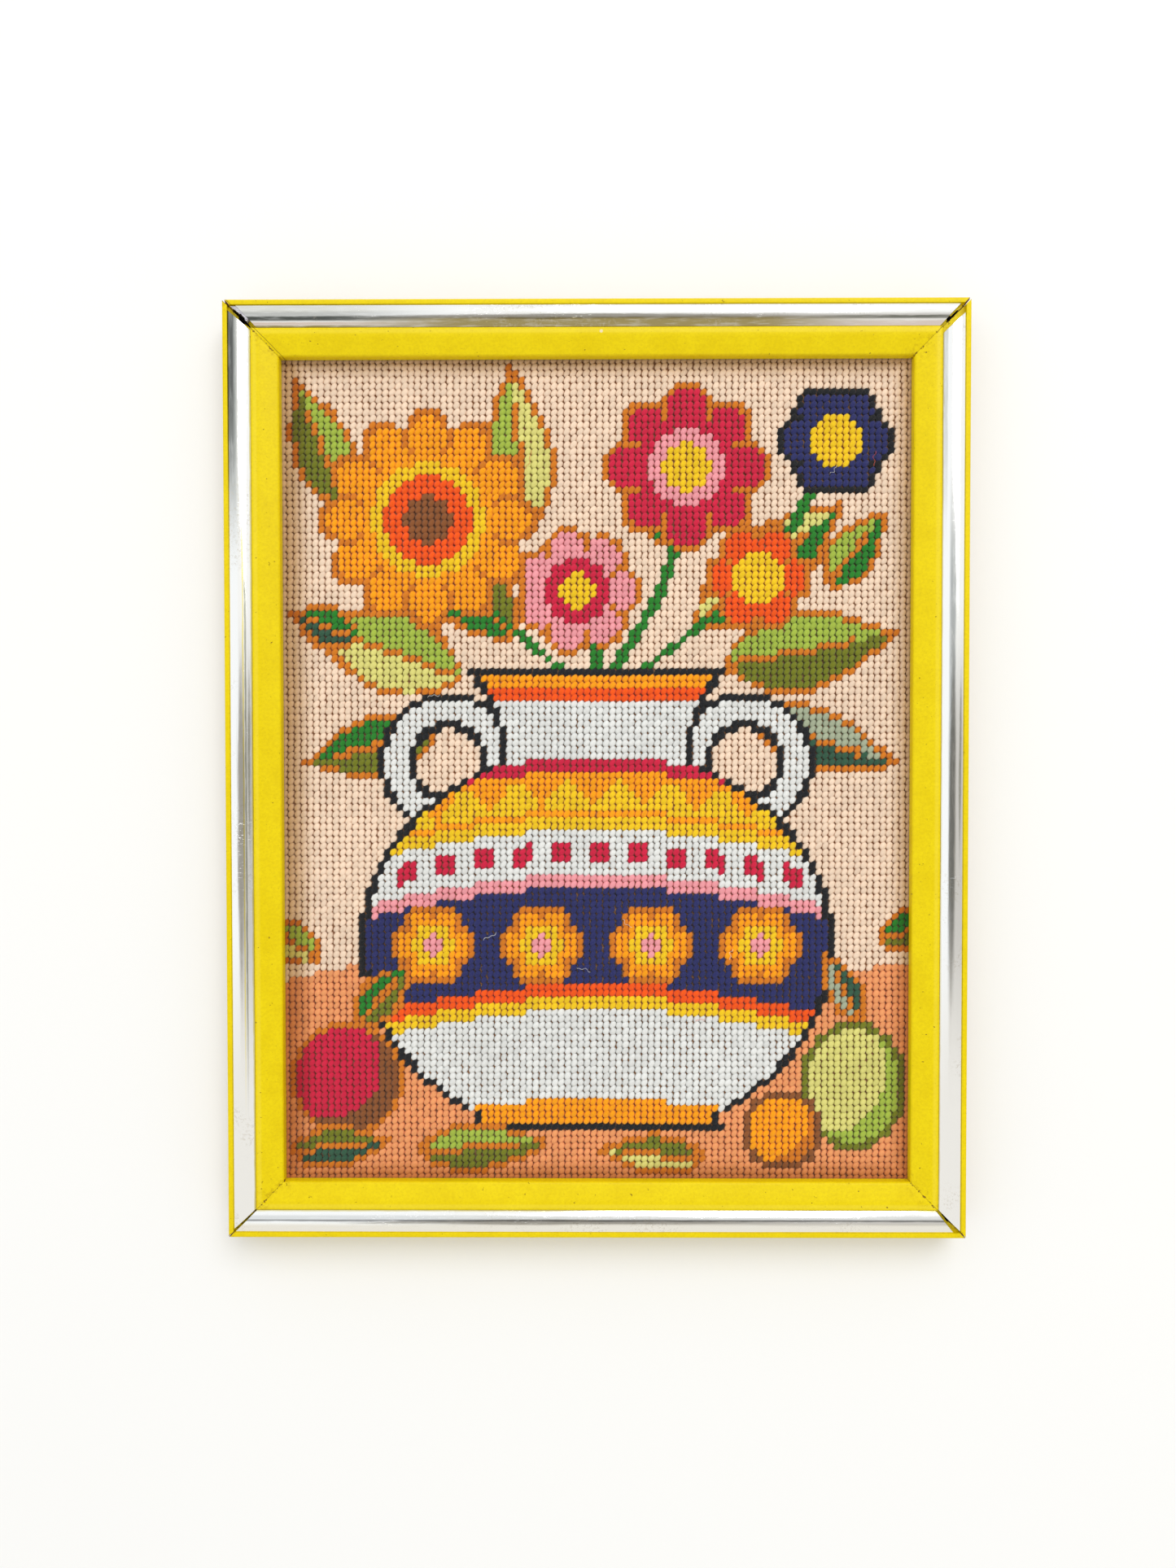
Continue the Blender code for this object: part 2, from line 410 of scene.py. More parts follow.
def moulding_section():
    """The cut end of a rail with sharp corners, and how far each named corner is rounded."""
    channel_end = LIP_WIDTH + CHANNEL_WIDTH
    floor = rail_height - CHANNEL_DEPTH
    shoulder_end = channel_end + SHOULDER_WIDTH
    sight_height = rail_height - SLOPE_DROP
    slot_top = canvas_rim_top + SLOT_CLEARANCE
    slot_floor = canvas_low.z - SLOT_CLEARANCE
    slot_end = rail_width - SLOT_DEPTH
    corners = {
        "lip_outer": (0, rail_height),
        "lip_inner": (LIP_WIDTH, rail_height),
        "shoulder_outer": (channel_end, rail_height),
        "shoulder_inner": (shoulder_end, rail_height),
        "sight_edge": (rail_width, sight_height),
    }
    section = [(0, 0), corners["lip_outer"], corners["lip_inner"], (LIP_WIDTH, floor)]
    section += [(channel_end, floor), corners["shoulder_outer"]]
    section += [corners["shoulder_inner"], corners["sight_edge"]]
    section += [(rail_width, slot_top), (slot_end, slot_top), (slot_end, slot_floor)]
    section += [(rail_width, slot_floor), (rail_width, 0)]
    return section, [(corners[name], LONG_EDGE_ROUNDS[name]) for name in corners]


def tear_cutter(dirt):
    """Ragged pegs along the mitres, which break out the channel floor where the fasteners tore it."""
    random.seed(7)
    pegs = bmesh.new()
    for corner, tears in TEARS.items():
        across = -1 if corner.endswith("left") else 1
        up = -1 if corner.startswith("bottom") else 1
        for inset, offset, length, width in tears:
            ring = []
            for point in range(TEAR_POINTS):
                angle = 2 * math.pi * point / TEAR_POINTS
                reach = random.uniform(0.65, 1.25)
                along, aside = length * math.cos(angle), width * math.sin(angle) * reach + offset
                x = across * (outer_width / 2 - inset - (along + aside) / math.sqrt(2))
                y = up * (outer_length / 2 - inset - (along - aside) / math.sqrt(2))
                ring.append((x, y, rail_height - CHANNEL_DEPTH - TEAR_DEPTH))
            low = [pegs.verts.new(place) for place in ring]
            high = [pegs.verts.new(Vector(place) + Vector((0, 0, 2 * TEAR_DEPTH))) for place in ring]
            pegs.faces.new(low)
            pegs.faces.new(high)
            for point in range(TEAR_POINTS):
                after = (point + 1) % TEAR_POINTS
                pegs.faces.new((low[point], low[after], high[after], high[point]))
    bmesh.ops.recalc_face_normals(pegs, faces=pegs.faces[:])
    return shaped("tear_pegs", pegs, dirt)


def applied(piece):
    """Applies the piece's modifiers to its mesh."""
    view = bpy.context.evaluated_depsgraph_get()
    mesh = bpy.data.meshes.new_from_object(piece.evaluated_get(view), depsgraph=view)
    piece.modifiers.clear()
    piece.data = mesh


def torn(piece, cutter):
    """Breaks the cutter's shapes out of the piece; the broken faces take the cutter's material."""
    tear = piece.modifiers.new("tear", "BOOLEAN")
    tear.object = cutter
    tear.use_self = True
    tear.material_mode = "TRANSFER"
    applied(piece)


def mitre_cuts(corner, side):
    """The two cuts of a mitred end: hair-close over the inner half, open and undercut near the corner."""
    setback = MITRE_SETBACKS[corner][lie(side)]
    close = ((0, rail_width), (MITRE_HAIR, MITRE_HAIR), 0.0)
    gaping = ((0, MITRE_OPEN_REACH), (setback, MITRE_HAIR), MITRE_UNDERCUTS[lie(side)])
    return close, gaping


foil = yellow_face()
woods = {
    "level": bare_wood("bare_wood_level", (1, 14, 14)),
    "upright": bare_wood("bare_wood_upright", (14, 1, 14)),
}
section, rounds = moulding_section()
pegs = tear_cutter(old_dirt())
for side, (turn, start_corner, end_corner) in SIDES.items():
    start, end = mitre_cuts(start_corner, side), mitre_cuts(end_corner, side)
    bar = mitred_length(section, rounds, side, start, end)
    for face in bar.faces:
        inward = -(Matrix.Rotation(math.radians(turn), 3, "Z").inverted() @ face.normal).y
        upright = abs(face.normal.z) < 0.3
        behind = face.calc_center_median().z < canvas_rim_top + SLOT_CLEARANCE + 1e-5
        mitre = upright and abs(abs(face.normal.x) - abs(face.normal.y)) < 0.5
        face.material_index = 1 if mitre or face.normal.z < -0.5 or (behind and inward < 0.5) else 0
    rail = finished(f"rail_{side}_moulding", bar, foil, woods[lie(side)])
    torn(rail, pegs)
    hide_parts(f"rail_{side}")


# Bright strips: a polished metal skin over each channel, rounded like a shallow arch and sawn short at
# the corners, each end at its own slant. The cut edges show, and handling has scratched the crowns.
STRIP_SETBACKS = {
    "bottom": ((0.0003, 0.0003), (0.0021, 0.0008)),
    "right": ((0.0003, 0.0003), (0.0025, 0.0021)),
    "top": ((0.0013, 0.0009), (0.0021, 0.0018)),
    "left": ((0.00155, 0.0007), (0.0008, 0.0003)),
}
STRIP_SPREAD = 0.00026
STRIP_CROWN = 0.0013
CROWN_STEPS = 28
STRIP_RIM = 0.00010
STRIP_RIPPLES = {"level": (9, 80, 80), "upright": (80, 9, 80)}
# Each painted reflection: its edges in from the frame's outer face, its ends along the strip, and its
# reflected colour
STRIP_PAINTED_REFLECTIONS = {
    "bottom": (
        (0.0102, 0.0125, -1.0, 1.0, (0.85, 0.78, 0.45, 1)),
        (0.0066, 0.0076, -1.0, 1.0, (0.45, 0.45, 0.45, 1)),
        (0.0064, 0.0094, -1.0, 1.0, (0.78, 0.79, 0.80, 1)),
        (-0.0010, 0.0068, -1.0, 1.0, (0.97, 0.95, 0.89, 1)),
    ),
    "right": (
        (0.0102, 0.0125, -1.0, 1.0, (0.85, 0.80, 0.60, 1)),
        (0.0088, 0.0125, 0.11, 1.0, (0.72, 0.73, 0.71, 1)),
        (0.0052, 0.0084, -0.07, 0.10, (0.48, 0.50, 0.51, 1)),
    ),
    "top": (
        (-0.0010, 0.0060, -1.0, -0.08, (0.76, 0.75, 0.70, 1)),
        (0.0044, 0.0092, -1.0, -0.08, (0.55, 0.55, 0.53, 1)),
        (0.0066, 0.0088, -1.0, -0.08, (0.16, 0.17, 0.16, 1)),
        (0.0088, 0.0102, -1.0, -0.08, (0.78, 0.66, 0.60, 1)),
        (0.0100, 0.0125, -1.0, -0.08, (0.36, 0.30, 0.12, 1)),
        (0.0068, 0.0125, -0.08, 0.09, (0.40, 0.33, 0.15, 1)),
        (0.0068, 0.0084, 0.09, 1.0, (0.30, 0.31, 0.28, 1)),
        (0.0086, 0.0125, 0.09, 1.0, (0.80, 0.70, 0.66, 1)),
    ),
    "left": (
        (-0.0010, 0.0050, 0.13, 1.0, (0.36, 0.36, 0.36, 1)),
        (-0.0010, 0.0061, 0.11, 1.0, (0.50, 0.51, 0.50, 1)),
        (-0.0010, 0.0074, 0.10, 1.0, (0.72, 0.73, 0.71, 1)),
        (0.0071, 0.0079, -0.11, 0.12, (1.00, 0.88, 0.36, 1)),
        (0.0079, 0.0088, -0.11, 0.12, (0.45, 0.46, 0.40, 1)),
        (0.0101, 0.0125, -1.0, 1.0, (0.80, 0.74, 0.40, 1)),
    ),
}
REFLECTION_SOFTNESS = 0.3
REFLECTION_FADE = 0.03
POLISH = (0.93, 0.93, 0.925, 1)
HAND_GREASE = (0.62, 0.57, 0.48, 1)
SMUDGE = 0.4
CORE_SHRINK = 0.0005
CORE_DROP = 0.4 * CORE_SHRINK
CORE_START = (0.1915, 0.1915)
CORE_END = (0.00050, 0.00042)


def strip_section():
    """The cut end of a strip: flat below, short sides and an arched top."""
    low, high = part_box("strip_bottom")
    inset = low.y - outer_low.y - STRIP_SPREAD
    width = high.y - low.y + 2 * STRIP_SPREAD
    radius = ((width / 2) ** 2 + STRIP_CROWN**2) / (2 * STRIP_CROWN)
    spread = math.asin(width / 2 / radius)
    crown = []
    for step in range(CROWN_STEPS + 1):
        angle = spread * (2 * step / CROWN_STEPS - 1)
        z = high.z - radius * (1 - math.cos(angle))
        crown.append((inset + width / 2 + radius * math.sin(angle), z))
    return [(inset, low.z), *crown, (inset + width, low.z)], (inset, inset + width)


def polished_metal(side):
    """Polished metal, rippled and finely scratched, with reflections of the room painted into its colour in
    streaks.
    """
    material, tree, shader = surface(f"polished_{side}", metallic=1.0)
    place = add(tree, "TexCoord").outputs["Object"]
    x, y = parted(place)[:2]
    upright = lie(side) == "upright"
    across, lengthways = (x, y) if upright else (y, x)
    inset = minus((outer_width if upright else outer_length) / 2, maths("ABSOLUTE", across))
    rippled = stretched(place, STRIP_RIPPLES[lie(side)])
    lines = grain(rippled, 12, 3, 0.6)
    inset = plus(inset, times(minus(lines, 0.5), 0.0005))
    shade = POLISH
    # Painted reflections: each band multiplies the metal's colour by the colour of what it mirrors there
    for low, high, start, end, reflected_colour in STRIP_PAINTED_REFLECTIONS[side]:
        soft = REFLECTION_SOFTNESS * (min(high, arch_insets[1]) - max(low, arch_insets[0]))
        sides = ramp(inset, low, low + soft), ramp(inset, high, high - soft)
        ends = (
            ramp(lengthways, start - REFLECTION_FADE, start + REFLECTION_FADE),
            ramp(lengthways, end + REFLECTION_FADE, end - REFLECTION_FADE),
        )
        painted_reflection = times(times(*sides), times(*ends))
        painted_reflection = times(painted_reflection, ramp(lines, 0.3, 0.55, 0.75, 1.0))
        shade = mixed(painted_reflection, shade, reflected_colour, "MULTIPLY")
    smudges = times(ramp(grain(place, 38, 2), 0.54, 0.64), SMUDGE)
    smudges = times(smudges, ramp(grain(place, 750, 5, 0.7), 0.50, 0.62))
    shade = mixed(smudges, shade, HAND_GREASE)
    link(shade, shader.inputs["Base Color"])
    ripple = grain(rippled, 1, 2)
    marks = []
    for turn, stretch, scale, low, high in ((0.6, 14, 260, 0.63, 0.70), (-0.9, 18, 200, 0.66, 0.72)):
        sockets = {"Vector": place, "Rotation": (0, 0, turn), "Scale": (1, stretch, 1)}
        hair_glints = grain(add(tree, "Mapping", sockets).outputs[0], scale, 4, 0.7)
        marks.append(ramp(hair_glints, low, high))
    scratches = maths("MAXIMUM", *marks)
    scratches = times(scratches, ramp(grain(place, 35, 3), 0.5, 0.7))
    dull = ramp(grain(place, 120, 5, 0.7), 0.4, 0.75, 0.09, 0.17)
    link(plus(dull, times(scratches, 0.3)), shader.inputs["Roughness"])
    height = minus(ripple, times(scratches, 0.06))
    height = plus(height, times(lines, 0.05))
    set_bump(shader, height, 0.0004)
    return material


def bare_core():
    """The strip's dull lilac-grey core, scraped by a saw, where the metal skin has come away."""
    material, tree, shader = surface("bare_core", roughness=0.6)
    place = add(tree, "TexCoord").outputs["Object"]
    scrape = grain(stretched(place, (1, 5, 1)), 500, 4, 0.7)
    shade = mixed(ramp(scrape, 0.35, 0.7), (0.26, 0.24, 0.28, 1), (0.72, 0.72, 0.78, 1))
    link(shade, shader.inputs["Base Color"])
    set_bump(shader, scrape, 0.00015)
    return material


def saw_edge(edge):
    """Whether the edge runs round a sawn end."""
    sawn = False
    for face in edge.link_faces:
        x, y, z = (abs(way) for way in face.normal)
        sawn = sawn or (abs(x - y) < 0.35 and z < 0.1)
    return sawn and edge.calc_face_angle(0) >= CREASE


arch, arch_insets = strip_section()
metals = {side: polished_metal(side) for side in SIDES}
for side, (start, end) in STRIP_SETBACKS.items():
    bar = mitred_length(arch, [], side, [(arch_insets, start, 0.0)], [(arch_insets, end, 0.0)])
    rims = [edge for edge in bar.edges if saw_edge(edge)]
    bmesh.ops.bevel(bar, geom=rims, offset=STRIP_RIM, segments=2, **BEVEL)
    strip = finished(f"strip_{side}_metal", bar, metals[side])
    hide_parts(f"strip_{side}")
narrower = []
for inset, z in arch:
    inset = min(max(inset, arch_insets[0] + CORE_SHRINK), arch_insets[1] - CORE_SHRINK)
    narrower.append((inset, z - CORE_DROP if z > arch[0][1] else z))
core_cuts = [(arch_insets, CORE_START, 0.0)], [(arch_insets, CORE_END, 0.0)]
core = mitred_length(narrower, [], "top", *core_cuts)
bmesh.ops.remove_doubles(core, verts=core.verts[:], dist=1e-6)
core = finished("strip_top_core", core, bare_core())
torn(core, pegs)
bpy.data.objects.remove(pegs)


# Canvas: open cotton mesh with ten holes to the inch, stretched flat, its edge held in the rails' slots.
# Almost all of it is covered; only the threads at the bottom of the holes show, coloured dark brown as
# painted shade.
STITCH = 0.00254
SWELL_HEIGHT = 0.0006
SWELL_RUN = 0.026
WAVE_HEIGHT = 0.00012
WAVE_LENGTH_X = 0.095
WAVE_LENGTH_Y = 0.135
COTTON_TOP = -0.0014
COTTON_THICKNESS = 0.0005
COTTON_CELLS = (40, 52)


def ease(share):
    """Smooth rise from 0 to 1."""
    share = min(max(share, 0.0), 1.0)
    return share * share * (3 - 2 * share)


def canvas_rise(x, y):
    """How far the stretched canvas stands above the height of its rim."""
    from_side = sight_width / 2 - abs(x)
    from_end = sight_length / 2 - abs(y)
    wave = math.sin(2 * math.pi * x / WAVE_LENGTH_X) * math.cos(2 * math.pi * y / WAVE_LENGTH_Y)
    return ease(from_side / SWELL_RUN) * ease(from_end / SWELL_RUN) * (SWELL_HEIGHT + WAVE_HEIGHT * wave)


def grid_sheet(columns, rows, width, length):
    """A flat grid of faces about the origin."""
    sheet = bmesh.new()
    bmesh.ops.create_grid(sheet, x_segments=columns, y_segments=rows, size=0.5)
    bmesh.ops.scale(sheet, verts=sheet.verts[:], vec=(width, length, 1))
    return sheet


def cotton():
    """Cotton threads, dull, coloured dark brown as painted shade at the bottom of the holes."""
    material, tree, shader = surface("cotton_mesh_hole_shade", roughness=0.95)
    place = add(tree, "TexCoord").outputs["Object"]
    x, y = parted(place)[:2]
    pull = math.pi / STITCH
    warp = maths("ABSOLUTE", maths("SINE", times(x, pull)))
    weft = maths("ABSOLUTE", maths("SINE", times(y, pull)))
    threads = maths("MAXIMUM", warp, weft)
    shade = mixed(ramp(threads, 0.75, 0.95), (0.36, 0.17, 0.08, 1), (0.50, 0.29, 0.16, 1))
    link(shade, shader.inputs["Base Color"])
    set_bump(shader, threads, 0.0004)
    return material


cloth = grid_sheet(*COTTON_CELLS, canvas_high.x - canvas_low.x, canvas_high.y - canvas_low.y)
for vert in cloth.verts:
    vert.co.z = canvas_rim_top + COTTON_TOP + canvas_rise(vert.co.x, vert.co.y)
canvas = finished("cotton_canvas", cloth, cotton())
body = canvas.modifiers.new("thickness", "SOLIDIFY")
body.thickness = COTTON_THICKNESS
body.offset = -1
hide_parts("needlepoint_canvas")


# Picture: a folk pot of flowers, drawn on the canvas stitch by stitch and worked in tapestry wool. Flat
# colours with one-stitch outlines stand on a peach ground above and a salmon one below.
COLUMNS = 98
ROWS = 128
GROUND_ROW = 31
picture = [["peach"] * COLUMNS for row in range(ROWS)]


def work(yarn_at):
    """Fills each stitch of the picture with the yarn that yarn_at gives for it, if any."""
    for row in range(ROWS):
        for column in range(COLUMNS):
            yarn = yarn_at(column, row)
            if yarn:
                picture[row][column] = yarn


def ground():
    """The salmon ground, with a gently rolling edge."""

    def yarn_at(column, row):
        return "salmon" if row < GROUND_ROW + 3 * math.sin(column / 13) else None

    work(yarn_at)


def leaf(column, row, length, width, turn, lit, shaded):
    """A pointed leaf from its stalk, split by its rib into two yarns and outlined in rust."""
    forward = Vector((math.cos(math.radians(turn)), math.sin(math.radians(turn))))

    def yarn_at(c, r):
        along = (c - column) * forward.x + (r - row) * forward.y
        across = (r - row) * forward.x - (c - column) * forward.y
        if not 0 < along < length:
            return None
        reach = width / 2 * math.sin(math.pi * (along / length) ** 0.8)
        if abs(across) > reach:
            return None
        if abs(across) > reach - 1 or (abs(across) < 0.5 and along < 0.75 * length):
            return "rust"
        return lit if across > 0 else shaded

    work(yarn_at)


def blossom(column, row, radius, petals, rings, edge="rust"):
    """An open flower: its petals' outline, and rings of yarn from each share of the radius inwards."""

    def yarn_at(c, r):
        away = math.hypot(c - column, r - row)
        wave = abs(math.cos(petals * math.atan2(r - row, c - column) / 2))
        reach = radius * (0.84 + 0.16 * wave)
        if away > reach:
            return None
        if away > reach - 1 or (wave * away < 0.45 * petals / 2 and away > 0.6 * radius):
            return edge
        return next(yarn for share, yarn in rings if away >= share * radius)

    work(yarn_at)


def stem(column, row, to_column, to_row, sag):
    """A green stalk two stitches wide, from the pot to a flower."""

    def yarn_at(c, r):
        share = (r - row) / (to_row - row)
        if not 0 <= share <= 1:
            return None
        middle = column + (to_column - column) * share + sag * math.sin(math.pi * share)
        return "green" if abs(c - middle) <= 0.9 else None

    work(yarn_at)


POT_COLUMN = 48.5
POT_FOOT = 8
POT_RIM = 79
BELLY_ROW = 36.5
BELLY_WIDTH = 37
BELLY_HEIGHT = 31
NECK_ROW = 66
NECK_WIDTH = 15
FOOT_WIDTH = 17
POINTS = (57.5, 62.5)
CHECKS = (49.5, 52.5)
HANDLE_SPREAD = 23
HANDLE_ROW = 65
HANDLE_RADII = (5.2, 10.8)
POT_BANDS = (
    (76.5, "orange"),
    (74.5, "red_orange"),
    (65.5, "white"),
    (63.5, "crimson"),
    (56.5, "orange"),
    (54.5, "yellow"),
    (47.5, "white"),
    (45.5, "pink"),
    (30.5, "navy"),
    (28.5, "red_orange"),
    (26.5, "yellow"),
    (12.5, "white"),
    (0, "orange"),
)


def pot_width(row):
    """Half the pot's width at a row, in stitches."""
    rise = (row - BELLY_ROW) / BELLY_HEIGHT
    belly = BELLY_WIDTH * math.sqrt(max(0.0, 1 - rise * rise))
    neck = NECK_WIDTH + 0.03 * (row - NECK_ROW) ** 2 if row > NECK_ROW - 8 else 0
    foot = FOOT_WIDTH + 0.12 * (POT_FOOT + 5 - row) ** 2 if row < POT_FOOT + 6 else 0
    return max(belly, neck, foot)


def pot_band(column, row):
    """The yarn of the pot's painted bands at a stitch; the bands sag with the pot's roundness."""
    across = column - POT_COLUMN
    level = row + 0.004 * across * across * (1 if row < NECK_ROW else 0)
    if POINTS[0] < level < POINTS[1] and abs(column % 8 - 4) < 4.6 - 0.8 * (level - POINTS[0]):
        return "yellow"
    if CHECKS[0] < level < CHECKS[1] and column % 6 < 3:
        return "crimson"
    return next(yarn for bottom, yarn in POT_BANDS if level > bottom)


def handles():
    """A round ear on each side of the neck."""

    def yarn_at(c, r):
        for way in (-1, 1):
            away = math.hypot(c - POT_COLUMN - way * HANDLE_SPREAD, r - HANDLE_ROW)
            if HANDLE_RADII[0] < away < HANDLE_RADII[1]:
                edge = away < HANDLE_RADII[0] + 1 or away > HANDLE_RADII[1] - 1
                return "black" if edge else "white"
        return None

    work(yarn_at)


def pot():
    """The pot, outlined in black."""

    def yarn_at(c, r):
        if not POT_FOOT <= r <= POT_RIM:
            return None
        spare = pot_width(r) - abs(c - POT_COLUMN)
        if spare < 0:
            return None
        return "black" if spare < 1.2 or r in (POT_FOOT, POT_RIM) else pot_band(c, r)

    work(yarn_at)


def fruit(column, row, width, height, lit, shaded, edge):
    """A round fruit with a shaded crescent to its lower right."""

    def yarn_at(c, r):
        x, y = (c - column) / width, (r - row) / height
        away = math.hypot(x, y)
        if away > 1:
            return None
        if away > 1 - 1.0 / width:
            return edge
        return shaded if math.hypot(x + 0.35, y - 0.25) > 0.95 else lit

    work(yarn_at)


ground()
for sprig in (
    (28, 78, 27, 13, 160, "straw", "lime"),
    (36, 84, 27, 12, 132, "green", "olive"),
    (68, 80, 28, 13, 10, "lime", "olive"),
    (64, 86, 30, 13, 40, "straw", "green"),
    (58, 98, 26, 12, 74, "green", "teal"),
    (38, 100, 27, 11, 96, "lime", "straw"),
    (10, 104, 22, 10, 112, "olive", "lime"),
    (72, 72, 25, 10, -18, "sage", "teal"),
    (24, 70, 22, 10, 194, "olive", "green"),
    (84, 92, 15, 8, 52, "lime", "green"),
    (12, 84, 12, 7, 160, "teal", "green"),
):
    leaf(*sprig)
for stalk in ((45, 78, 25, 98, -2), (50, 78, 62, 108, 3), (48, 78, 46, 92, 1), (54, 78, 84, 114, 6)):
    stem(*stalk)
blossom(22.5, 102.5, 17, 12, ((0.52, "orange"), (0.40, "yellow"), (0.22, "red_orange"), (0.0, "brown")))
blossom(62.5, 110.5, 13, 8, ((0.46, "crimson"), (0.28, "pink"), (0.0, "yellow")))
blossom(45.5, 91.5, 10, 7, ((0.50, "pink"), (0.26, "crimson"), (0.0, "yellow")))
blossom(85.5, 114.5, 9, 6, ((0.45, "navy"), (0.0, "yellow")), "black")
blossom(73.5, 93.5, 8.5, 6, ((0.45, "red_orange"), (0.0, "yellow")))
handles()
pot()
for petal_column in (23, 40, 57, 74):
    blossom(petal_column, 36.5, 6.6, 6, ((0.5, "orange"), (0.25, "yellow"), (0.0, "pink")))
fruit(9.5, 15.5, 9, 9, "crimson", "brown", "rust")
fruit(88.5, 14.5, 8.5, 10, "straw", "lime", "olive")
fruit(77.5, 7.5, 6.5, 6.5, "orange", "rust", "brown")
for sprig in (
    (11, 24, 13, 7, 48, "green", "olive"),
    (20, 4, 22, 8, 4, "lime", "olive"),
    (90, 24, 13, 6, 118, "sage", "teal"),
    (66, 3, 18, 7, 176, "straw", "olive"),
    (0, 4, 17, 7, 6, "olive", "teal"),
    (6, 34, 14, 7, 150, "straw", "lime"),
    (92, 37, 14, 7, 20, "green", "olive"),
):
    leaf(*sprig)


# Stitches: each is one slanted loop of plied wool over a crossing of the canvas threads, up to the right,
# its ends pulled down into the holes. Tension varies, so they differ in lean, length and plumpness.
WOOLS = {
    "peach": (0.865, 0.668, 0.512),
    "salmon": (0.830, 0.330, 0.130),
    "white": (0.760, 0.765, 0.750),
    "navy": (0.022, 0.026, 0.125),
    "orange": (0.930, 0.350, 0.004),
    "red_orange": (0.880, 0.095, 0.006),
    "yellow": (0.860, 0.560, 0.010),
    "pink": (0.850, 0.330, 0.370),
    "crimson": (0.610, 0.014, 0.055),
    "rust": (0.640, 0.190, 0.012),
    "black": (0.010, 0.011, 0.014),
    "straw": (0.700, 0.660, 0.200),
    "lime": (0.360, 0.480, 0.060),
    "olive": (0.170, 0.190, 0.012),
    "green": (0.020, 0.210, 0.022),
    "sage": (0.380, 0.430, 0.300),
    "teal": (0.030, 0.095, 0.055),
    "brown": (0.250, 0.085, 0.025),
}
STITCH_HALF_LENGTH = 0.00173
STITCH_HALF_WIDTH = 0.00131
STITCH_HALF_HEIGHT = 0.00090
STITCH_BLUNTNESS = 0.84
STITCH_BEND = -0.00022
STITCH_END_REACH = 0.00192
STITCH_END_DEPTH = 0.0012
STITCH_SIDE_ANGLES = (90, 50, 8, -62, -118, 172, 130)
STITCH_LEAN = math.radians(54)
MOST_STITCHES = 3000
BACK_HALF_SIZE = (0.0029, 0.0011, 0.0006)
BACK_LEAN = math.radians(27)
EDGE_SHADE = (0.62, 0.50, 0.34, 1)


def ply():
    """Plied wool along a stitch: its colour, with painted shade on its sloping sides, at its ends where it
    dives into the canvas, in its ply grooves and near the frame, and its height.
    """
    inputs = [("Wool", "Color", (0.8, 0.8, 0.8, 1)), ("Hair_glint", "Float", 0.1)]
    tree, given, made = group("plied_wool", inputs, [("Color", "Color"), ("Height", "Float")])
    round_yarn, along = parted(add(tree, "UVMap", uv_map="yarn").outputs["UV"])[:2]
    tone = add(tree, "Attribute", attribute_name="tone").outputs["Fac"]
    place = add(tree, "TexCoord").outputs["Object"]
    fibres = grain(place, 4200, 3, 0.65)
    turned = times(round_yarn, 11 * 2 * math.pi)
    turned = plus(turned, times(along, 5.5))
    turned = plus(turned, times(tone, 40))
    turned = plus(turned, times(grain(place, 900, 2), 7))
    strands = ramp(maths("SINE", turned), -1.0, 1.0)
    upright = parted(add(tree, "TexCoord").outputs["Normal"])[2]
    from_middle = maths("ABSOLUTE", minus(along, 0.5))
    # Painted shade: the sloping sides and both ends of each stitch take a darker, deeper copy of the wool's
    # colour
    sloping_shade = ramp(upright, 0.65, 0.10, 0.0, 0.6)
    painted_shade = maths("MAXIMUM", sloping_shade, ramp(from_middle, 0.33, 0.45))
    light = ramp(tone, 0.0, 1.0, 0.94, 1.05)
    light = times(light, ramp(grain(place, 45, 3), 0.3, 0.7, 0.97, 1.03))
    # Painted shade: the grooves between the plies are darkened a little
    light = times(light, ramp(strands, 0.0, 1.0, 0.93, 1.03))
    light = times(light, ramp(fibres, 0.3, 0.7, 0.93, 1.05))
    light = add(tree, "CombineColor", {0: light, 1: light, 2: light}).outputs[0]
    shaded_wool = add(tree, "Gamma", {"Color": given.outputs["Wool"], "Gamma": 2.2}).outputs[0]
    shade = mixed(painted_shade, given.outputs["Wool"], shaded_wool)
    shade = mixed(1.0, shade, light, "MULTIPLY")
    # Painted shade: the wool turns darker and browner within about a centimetre of the frame's sight edge,
    # over a wider band on the left, where the rails shade it
    x, y = parted(place)[:2]
    x_spare = minus(sight_width / 2, maths("ABSOLUTE", x))
    y_spare = minus(sight_length / 2, maths("ABSOLUTE", y))
    left_spare = plus(sight_width / 2 - 0.004, x)
    spare = maths("MINIMUM", maths("MINIMUM", x_spare, y_spare), left_spare)
    edge_shaded = mixed(ramp(spare, -0.001, 0.009), EDGE_SHADE, (1, 1, 1, 1))
    shade = mixed(1.0, shade, edge_shaded, "MULTIPLY")
    # Stray hair and painted highlight: fine flecks screened toward white, as hair catching the light
    hair_glints = times(ramp(grain(place, 5200, 2, 0.6), 0.60, 0.72), given.outputs["Hair_glint"])
    shade = mixed(hair_glints, shade, (1, 1, 1, 1), "SCREEN")
    link(shade, made.inputs["Color"])
    link(plus(strands, fibres), made.inputs["Height"])
    return tree


def wool(name, colour, plies):
    """Matte wool of one colour; light flecks of stray hair, partly painted glint, show most on the dark
    ones.
    """
    finish = {"roughness": 0.95, "sheen_weight": 0.12, "sheen_roughness": 0.6}
    material, tree, shader = surface(f"wool_{name}", **finish)
    shader.inputs["Specular IOR Level"].default_value = 0.12
    strands = add(tree, "Group", node_tree=plies)
    strands.inputs["Wool"].default_value = (*colour, 1)
    strands.inputs["Hair_glint"].default_value = 0.10 if max(colour) < 0.2 else 0.03
    link(strands.outputs["Color"], shader.inputs["Base Color"])
    set_bump(shader, strands.outputs["Height"], 0.00006)
    return material


